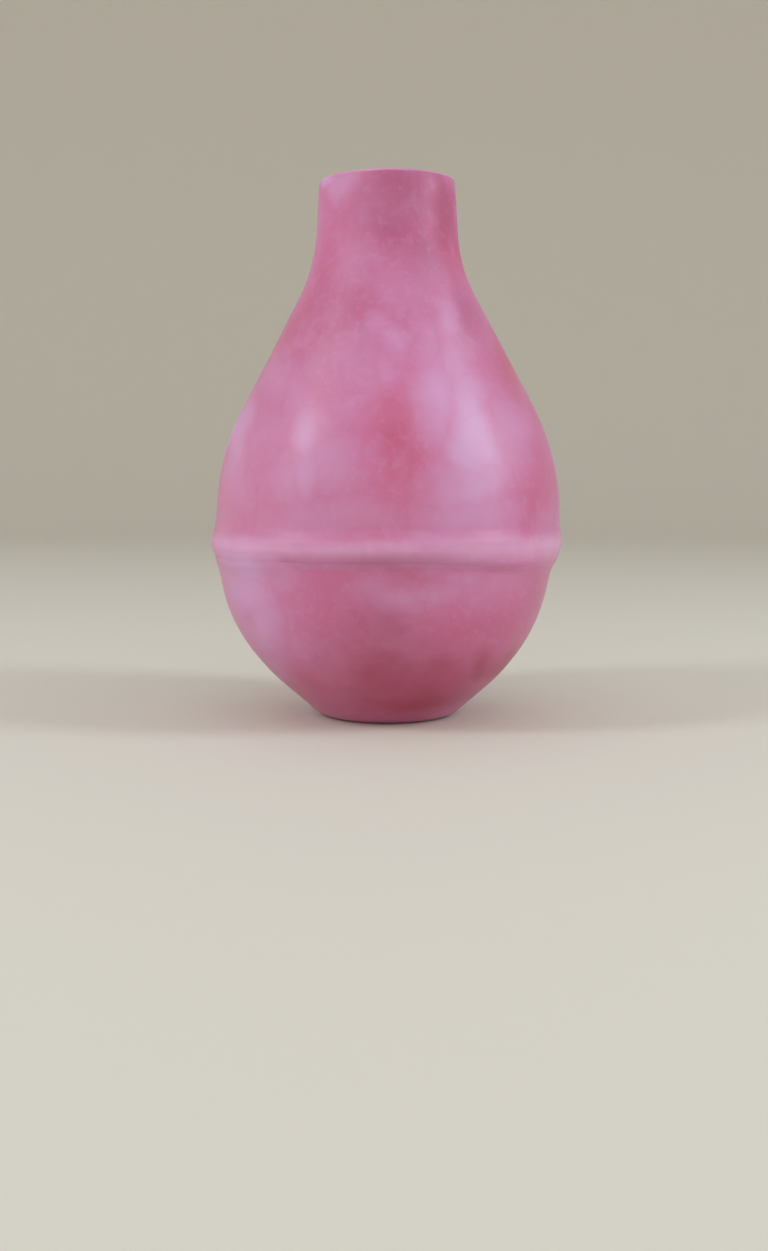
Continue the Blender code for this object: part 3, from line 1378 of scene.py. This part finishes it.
SHOULDER_PATCHES = (
    Patch(Tint.ROSE, (0.0165, -0.0088, 0.0510), (0.0040, 0.0120, 0.0140), 0.85),
    Patch(Tint.ROSE, (-0.0125, -0.0085, 0.0565), (0.0042, 0.0120, 0.0100), 0.65),
    Patch(Tint.ROSE, (-0.0031, -0.0134, 0.0599), (0.0042, 0.0100, 0.0050), 0.6),
    Patch(Tint.ROSE, (-0.0085, -0.0155, 0.0525), (0.0056, 0.0120, 0.0080), 0.72),
    Patch(Tint.MAUVE, (0.0105, -0.0095, 0.0590), (0.0036, 0.0090, 0.0070), 0.6),
    Patch(Tint.MAUVE, (-0.0029, -0.0171, 0.0533), (0.0026, 0.0100, 0.0080), 0.35),
    Patch(Tint.MAUVE, (0.0091, -0.0151, 0.0545), (0.0030, 0.0100, 0.0050), 0.3),
    Patch(Tint.MAUVE, (0.0000, -0.0120, 0.0585), (0.0180, 0.0140, 0.0140), 0.35),
    # Painted highlight over bloom: the next four patches paint the right highlight's tail up the shoulder.
    Patch(Tint.BLOOM, (0.0057, -0.0202, 0.0464), (0.0052, 0.0140, 0.0090), 0.8),
    Patch(Tint.BLOOM, (0.0042, -0.0170, 0.0525), (0.0034, 0.0100, 0.0095), 0.38),
    Patch(Tint.BLOOM, (0.0073, -0.0134, 0.0572), (0.0034, 0.0100, 0.0075), 0.55),
    Patch(Tint.BLOOM, (0.0088, -0.0164, 0.0510), (0.0044, 0.0120, 0.0080), 0.55),
    Patch(Tint.BLOOM, (-0.0125, -0.0165, 0.0465), (0.0045, 0.0140, 0.0060), 0.3),
    Patch(Tint.BLOOM, (-0.0152, -0.0118, 0.0495), (0.0045, 0.0120, 0.0060), 0.35),
    Patch(Tint.BLOOM, (-0.0012, -0.0157, 0.0552), (0.0026, 0.0080, 0.0040), 0.35),
    Patch(Tint.BLOOM, (0.0006, -0.0172, 0.0535), (0.0026, 0.0080, 0.0036), 0.45),
    Patch(Tint.BLOOM, (-0.0010, -0.0194, 0.0494), (0.0022, 0.0080, 0.0044), 0.35),
    Patch(Tint.BLOOM, (0.0020, -0.0128, 0.0620), (0.0090, 0.0100, 0.0070), 0.2),
)
BELLY_PATCHES = (
    Patch(Tint.ROSE, (0.0010, -0.0233, 0.0410), (0.0060, 0.0200, 0.0100), 0.9),
    Patch(Tint.ROSE, (0.0012, -0.0250, 0.0334), (0.0090, 0.0200, 0.0070), 0.45),
    Patch(Tint.ROSE, (-0.0170, -0.0190, 0.0308), (0.0085, 0.0200, 0.0034), 0.45),
    Patch(Tint.ROSE, (0.0214, -0.0133, 0.0330), (0.0050, 0.0200, 0.0085), 0.52),
    Patch(Tint.BLOOM, (-0.0090, -0.0235, 0.0300), (0.0170, 0.0200, 0.0060), 0.45),
    # Painted highlight over bloom: the bloom patches at x 0.0105 to 0.0165 paint the right highlight's core
    # and halo, and those at x -0.0080 and -0.0108 the left highlight's halo and tail.
    Patch(Tint.BLOOM, (0.0110, -0.0212, 0.0390), (0.0068, 0.0140, 0.0062), 1.0),
    Patch(Tint.BLOOM, (-0.0080, -0.0234, 0.0372), (0.0064, 0.0140, 0.0080), 0.5),
    Patch(Tint.BLOOM, (-0.0142, -0.0211, 0.0350), (0.0062, 0.0140, 0.0060), 0.55),
    Patch(Tint.BLOOM, (-0.0218, -0.0051, 0.0437), (0.0040, 0.0140, 0.0130), 0.85),
    Patch(Tint.BLOOM, (-0.0170, -0.0165, 0.0400), (0.0050, 0.0140, 0.0110), 0.3),
    Patch(Tint.BLOOM, (0.0165, -0.0150, 0.0420), (0.0060, 0.0140, 0.0120), 0.5),
    Patch(Tint.BLOOM, (0.0105, -0.0188, 0.0454), (0.0054, 0.0140, 0.0080), 0.9),
    Patch(Tint.BLOOM, (0.0114, -0.0198, 0.0420), (0.0060, 0.0140, 0.0070), 1.0),
    Patch(Tint.BLOOM, (0.0110, -0.0222, 0.0350), (0.0090, 0.0140, 0.0090), 0.9),
    Patch(Tint.BLOOM, (0.0110, -0.0226, 0.0310), (0.0100, 0.0140, 0.0055), 0.7),
    Patch(Tint.BLOOM, (-0.0108, -0.0204, 0.0414), (0.0035, 0.0140, 0.0070), 0.65),
    Patch(Tint.BLOOM, (-0.0108, -0.0220, 0.0358), (0.0044, 0.0140, 0.0075), 0.75),
    Patch(Tint.BLOOM, (-0.0203, -0.0140, 0.0365), (0.0034, 0.0140, 0.0120), 0.3),
)
BEAD_PATCHES = (
    Patch(Tint.BLOOM, (-0.0195, -0.0165, 0.0250), (0.0085, 0.0140, 0.0045), 1.0),
    # Painted highlight over bloom, where the right highlight's column crosses the bead.
    Patch(Tint.BLOOM, (0.0084, -0.0250, 0.0277), (0.0085, 0.0140, 0.0022), 0.5),
    Patch(Tint.BLOOM, (0.0150, -0.0215, 0.0262), (0.0130, 0.0160, 0.0024), 0.45),
    Patch(Tint.BLOOM, (0.0000, -0.0256, 0.0255), (0.0130, 0.0100, 0.0016), 0.22),
)
# Painted shade in the crease below the bead.
CREASE_SHADE_PATCHES = (
    Patch(Tint.DEEP, (0.0005, -0.0252, 0.0243), (0.0080, 0.0100, 0.0016), 0.2, 0.3),
)
CUP_PATCHES = (
    Patch(Tint.ROSE, (-0.0078, -0.0219, 0.0150), (0.0075, 0.0140, 0.0060), 0.4),
    Patch(Tint.ROSE, (0.0100, -0.0213, 0.0155), (0.0085, 0.0140, 0.0055), 0.5),
    Patch(Tint.ROSE, (0.0025, -0.0246, 0.0226), (0.0070, 0.0140, 0.0032), 0.45),
    Patch(Tint.ROSE, (0.0135, -0.0210, 0.0233), (0.0050, 0.0140, 0.0024), 0.6),
    # Painted shade on the cup's right side: this patch and the greyer one two lines below.
    Patch(Tint.ROSE, (0.0220, -0.0090, 0.0195), (0.0055, 0.0140, 0.0070), 0.4),
    Patch(Tint.ROSE, (0.0170, -0.0158, 0.0140), (0.0070, 0.0140, 0.0075), 0.45),
    Patch(Tint.MAUVE, (0.0230, -0.0075, 0.0180), (0.0060, 0.0140, 0.0080), 0.3),
    # Paler on the cup's left: partly bloom, partly painted light from the left.
    Patch(Tint.BLOOM, (-0.0200, -0.0135, 0.0200), (0.0080, 0.0160, 0.0100), 0.8),
    Patch(Tint.BLOOM, (-0.0175, -0.0140, 0.0145), (0.0066, 0.0140, 0.0090), 0.8),
    Patch(Tint.BLOOM, (-0.0195, -0.0165, 0.0240), (0.0080, 0.0140, 0.0045), 1.0),
    Patch(Tint.BLOOM, (-0.0140, -0.0200, 0.0225), (0.0040, 0.0140, 0.0040), 0.4),
    Patch(Tint.BLOOM, (0.0017, -0.0243, 0.0200), (0.0070, 0.0140, 0.0046), 0.45),
    Patch(Tint.BLOOM, (0.0070, -0.0234, 0.0207), (0.0050, 0.0140, 0.0036), 0.35),
    Patch(Tint.BLOOM, (0.0110, -0.0222, 0.0226), (0.0045, 0.0140, 0.0030), 0.4),
    Patch(Tint.BLOOM, (0.0130, -0.0215, 0.0215), (0.0150, 0.0160, 0.0066), 0.22),
    # Painted shade on the lower cup: these two darker patches.
    Patch(Tint.DEEP, (-0.0003, -0.0230, 0.0150), (0.0055, 0.0160, 0.0065), 0.4),
    Patch(Tint.DEEP, (0.0145, -0.0176, 0.0152), (0.0050, 0.0120, 0.0036), 0.12),
)
FOOT_PATCHES = (
    # Painted light on the foot's left: this patch and the next lighten it.
    Patch(Tint.ROSE, (-0.0110, -0.0140, 0.0065), (0.0060, 0.0140, 0.0045), 0.5),
    Patch(Tint.BLOOM, (-0.0155, -0.0120, 0.0095), (0.0056, 0.0140, 0.0056), 0.4),
    # Painted shade: these darker patches deepen the foot towards the floor.
    Patch(Tint.DEEP, (0.0040, -0.0170, 0.0030), (0.0190, 0.0220, 0.0125), 0.9, 0.3),
    Patch(Tint.DEEP, (0.0180, -0.0090, 0.0080), (0.0065, 0.0140, 0.0060), 0.85),
    Patch(Tint.DEEP, (0.0136, -0.0150, 0.0084), (0.0050, 0.0140, 0.0055), 0.72, 0.3),
    Patch(Tint.DEEP, (-0.0005, -0.0185, 0.0070), (0.0125, 0.0160, 0.0115), 0.8, 0.3),
)


def upper_finish(shell: UpperShell) -> RubberFinish:
    """The finish of the upper half, with a matt neck and a rubbed bead and rim.

    Args:
        shell: The upper half, whose edges wear.

    Returns:
        Its rubber.
    """
    bead_wear, bead_drop = 0.0021, 0.0007
    rim_wear, rim_inset = 0.0003, 0.0002
    return RubberFinish(
        patches=NECK_PATCHES + SHOULDER_PATCHES + BELLY_PATCHES + BEAD_PATCHES + CREASE_SHADE_PATCHES,
        seam_shade=SeamShade(shell.lap.seam_height),
        worn_rings=(
            WornRing(shell.bead_radius, shell.bead_crest - bead_drop, bead_wear),
            WornRing(shell.rim_radius - rim_inset, shell.rim_height - rim_inset, rim_wear),
        ),
        matt_heights=(0.0560, 0.0680),
    )


def lower_finish(shell: LowerShell) -> RubberFinish:
    """The finish of the lower half, with painted shade that deepens towards its foot.

    Args:
        shell: The lower half, whose crease gets painted shade.

    Returns:
        Its rubber.
    """
    return RubberFinish(
        patches=CREASE_SHADE_PATCHES + CUP_PATCHES + FOOT_PATCHES,
        seam_shade=SeamShade(shell.lap.seam_height),
        foot_shade=FootShade(),
    )


def main() -> None:
    """Build the pieces in order, dress them and set up the studio."""
    logging.basicConfig(level=logging.INFO, format="%(name)s: %(message)s")
    seam_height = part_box("upper_shell")[0].z
    rim_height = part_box("upper_shell")[1].z
    even_lathe = Lathe()
    uneven_lathe = Lathe(shape=Unevenness(rim_height, seam_height).place)
    lap = Lap(seam_height)
    ribs = Ribs(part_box("neck_insert")[1].z)

    upper = UpperShell("upper_half", "upper_shell", Slot.UPPER, uneven_lathe, lap=lap, ribs=ribs,
                       rim_height=rim_height)
    upper_piece = upper.build()
    upper.dress(upper_piece, upper_finish(upper).make("upper_half_rubber"))
    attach(upper_piece, Body.NECK.value)

    lower = LowerShell("lower_half", "lower_shell", Slot.LOWER, uneven_lathe, lap=lap)
    lower_piece = lower.build()
    lower.dress(lower_piece, lower_finish(lower).make("lower_half_rubber"))
    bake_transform(lower_piece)

    bush = NeckInsert("bush", "neck_insert", Slot.BUSH, even_lathe, ribs=ribs)
    bush_piece = bush.build()
    bush.dress(bush_piece, PlasticFinish().make("bush_milk_plastic"))
    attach(bush_piece, Body.NECK.value)

    for piece in (upper_piece, lower_piece, bush_piece):
        log.info("%s: %d faces", piece.name, len(piece.data.polygons))
    Studio().set_up()


if __name__ == "__main__":
    main()
